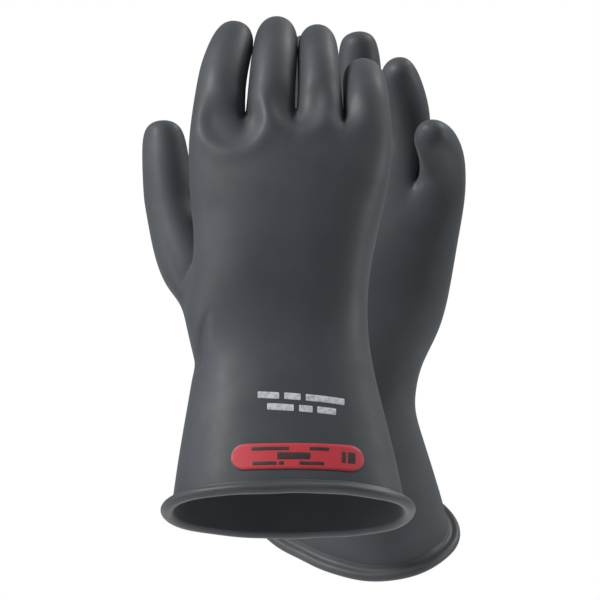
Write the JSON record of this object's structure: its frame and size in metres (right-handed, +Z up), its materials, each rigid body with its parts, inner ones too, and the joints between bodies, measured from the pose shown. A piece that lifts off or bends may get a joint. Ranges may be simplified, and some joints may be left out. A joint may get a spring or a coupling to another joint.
{
  "type": "electrical insulating gloves",
  "caption": "Pair of heavy rubber insulating gauntlets with rolled cuff beads and red class labels; wrists, fingers and thumbs bend.",
  "frame": {"origin": "centre of the right glove's cuff opening, at the middle of its rolled bead", "axes": "+Z up towards the fingertips, +X from the right glove's thumb side to its little finger, +Y from the back of the right glove to its palm and on to the left glove behind it"},
  "size_m": [0.1782, 0.3369, 0.3119],
  "materials": {
    "glove_rubber": "satin black natural rubber with a faint chlorinated, powdery bloom",
    "bead_rubber": "satin, the same rubber rolled into a bead",
    "label_red": "thin smooth red rubber label with plain dark bars"
  },
  "bodies": {
    "right_cuff": {"right_gauntlet": "glove_rubber", "right_cuff_bead": "bead_rubber", "right_class_label": "label_red", "right_wrist": "glove_rubber"},
    "right_hand": {"right_hand": "glove_rubber", "right_index_knuckle": "glove_rubber", "right_middle_knuckle": "glove_rubber", "right_ring_knuckle": "glove_rubber", "right_little_knuckle": "glove_rubber", "right_thumb_knuckle": "glove_rubber"},
    "right_index_tip": {"right_index_tip": "glove_rubber"},
    "right_middle_tip": {"right_middle_tip": "glove_rubber"},
    "right_ring_tip": {"right_ring_tip": "glove_rubber"},
    "right_little_tip": {"right_little_tip": "glove_rubber"},
    "right_thumb_tip": {"right_thumb_tip": "glove_rubber"},
    "left_cuff": {"left_gauntlet": "glove_rubber", "left_cuff_bead": "bead_rubber", "left_class_label": "label_red", "left_wrist": "glove_rubber"},
    "left_hand": {"left_hand": "glove_rubber", "left_index_knuckle": "glove_rubber", "left_middle_knuckle": "glove_rubber", "left_ring_knuckle": "glove_rubber", "left_little_knuckle": "glove_rubber", "left_thumb_knuckle": "glove_rubber"},
    "left_index_tip": {"left_index_tip": "glove_rubber"},
    "left_middle_tip": {"left_middle_tip": "glove_rubber"},
    "left_ring_tip": {"left_ring_tip": "glove_rubber"},
    "left_little_tip": {"left_little_tip": "glove_rubber"},
    "left_thumb_tip": {"left_thumb_tip": "glove_rubber"}
  },
  "joints": [
    {"name": "left_glove_apart", "type": "slide", "parent": "right_cuff", "child": "left_cuff", "axis": [0, 1, 0], "range_m": [0, 0.25]},
    {"name": "right_wrist_bend", "type": "hinge", "parent": "right_cuff", "child": "right_hand", "pos_m": [0, 0.02719, 0.08369], "axis": [-1, 0, 0], "range_deg": [-20, 10], "stiffness_Nm_per_rad": 6, "deforming": ["right_wrist"]},
    {"name": "right_index_bend", "type": "hinge", "parent": "right_hand", "child": "right_index_tip", "pos_m": [-0.03685, 0.06388, 0.2332], "axis": [-0.9908, 0.079, 0.1098], "range_deg": [0, 75], "stiffness_Nm_per_rad": 0.25, "deforming": ["right_index_knuckle"]},
    {"name": "right_middle_bend", "type": "hinge", "parent": "right_hand", "child": "right_middle_tip", "pos_m": [-0.00925, 0.06576, 0.23766], "axis": [-0.9989, 0.0298, 0.0355], "range_deg": [0, 75], "stiffness_Nm_per_rad": 0.25, "deforming": ["right_middle_knuckle"]},
    {"name": "right_ring_bend", "type": "hinge", "parent": "right_hand", "child": "right_ring_tip", "pos_m": [0.0156, 0.06549, 0.2356], "axis": [-0.9999, -0.0094, -0.0109], "range_deg": [0, 75], "stiffness_Nm_per_rad": 0.25, "deforming": ["right_ring_knuckle"]},
    {"name": "right_little_bend", "type": "hinge", "parent": "right_hand", "child": "right_little_tip", "pos_m": [0.04103, 0.06398, 0.22402], "axis": [-0.9991, -0.032, -0.0286], "range_deg": [0, 70], "stiffness_Nm_per_rad": 0.25, "deforming": ["right_little_knuckle"]},
    {"name": "right_thumb_bend", "type": "hinge", "parent": "right_hand", "child": "right_thumb_tip", "pos_m": [-0.0655, 0.06988, 0.16582], "axis": [-0.985, -0.0642, -0.16], "range_deg": [0, 50], "stiffness_Nm_per_rad": 0.25, "deforming": ["right_thumb_knuckle"]},
    {"name": "left_wrist_bend", "type": "hinge", "parent": "left_cuff", "child": "left_hand", "pos_m": [0.02935, 0.19337, 0.06178], "axis": [0.8874, -0.424, -0.1807], "range_deg": [-12, 12], "stiffness_Nm_per_rad": 6, "deforming": ["left_wrist"]},
    {"name": "left_index_bend", "type": "hinge", "parent": "left_hand", "child": "left_index_tip", "pos_m": [0.01219, 0.19283, 0.22142], "axis": [0.8864, -0.4629, -0.0031], "range_deg": [0, 75], "stiffness_Nm_per_rad": 0.25, "deforming": ["left_index_knuckle"]},
    {"name": "left_middle_bend", "type": "hinge", "parent": "left_hand", "child": "left_middle_tip", "pos_m": [0.03933, 0.18321, 0.22148], "axis": [0.8986, -0.4386, 0.0077], "range_deg": [0, 75], "stiffness_Nm_per_rad": 0.25, "deforming": ["left_middle_knuckle"]},
    {"name": "left_ring_bend", "type": "hinge", "parent": "left_hand", "child": "left_ring_tip", "pos_m": [0.06612, 0.16228, 0.21229], "axis": [0.8864, -0.4353, -0.1571], "range_deg": [0, 75], "stiffness_Nm_per_rad": 0.25, "deforming": ["left_ring_knuckle"]},
    {"name": "left_little_bend", "type": "hinge", "parent": "left_hand", "child": "left_little_tip", "pos_m": [0.08368, 0.14737, 0.19316], "axis": [0.9026, -0.3663, -0.226], "range_deg": [0, 60], "stiffness_Nm_per_rad": 0.25, "deforming": ["left_little_knuckle"]},
    {"name": "left_thumb_bend", "type": "hinge", "parent": "left_hand", "child": "left_thumb_tip", "pos_m": [-0.027, 0.18802, 0.16003], "axis": [0.8852, -0.465, -0.0127], "range_deg": [0, 50], "stiffness_Nm_per_rad": 0.25, "deforming": ["left_thumb_knuckle"]}
  ]
}
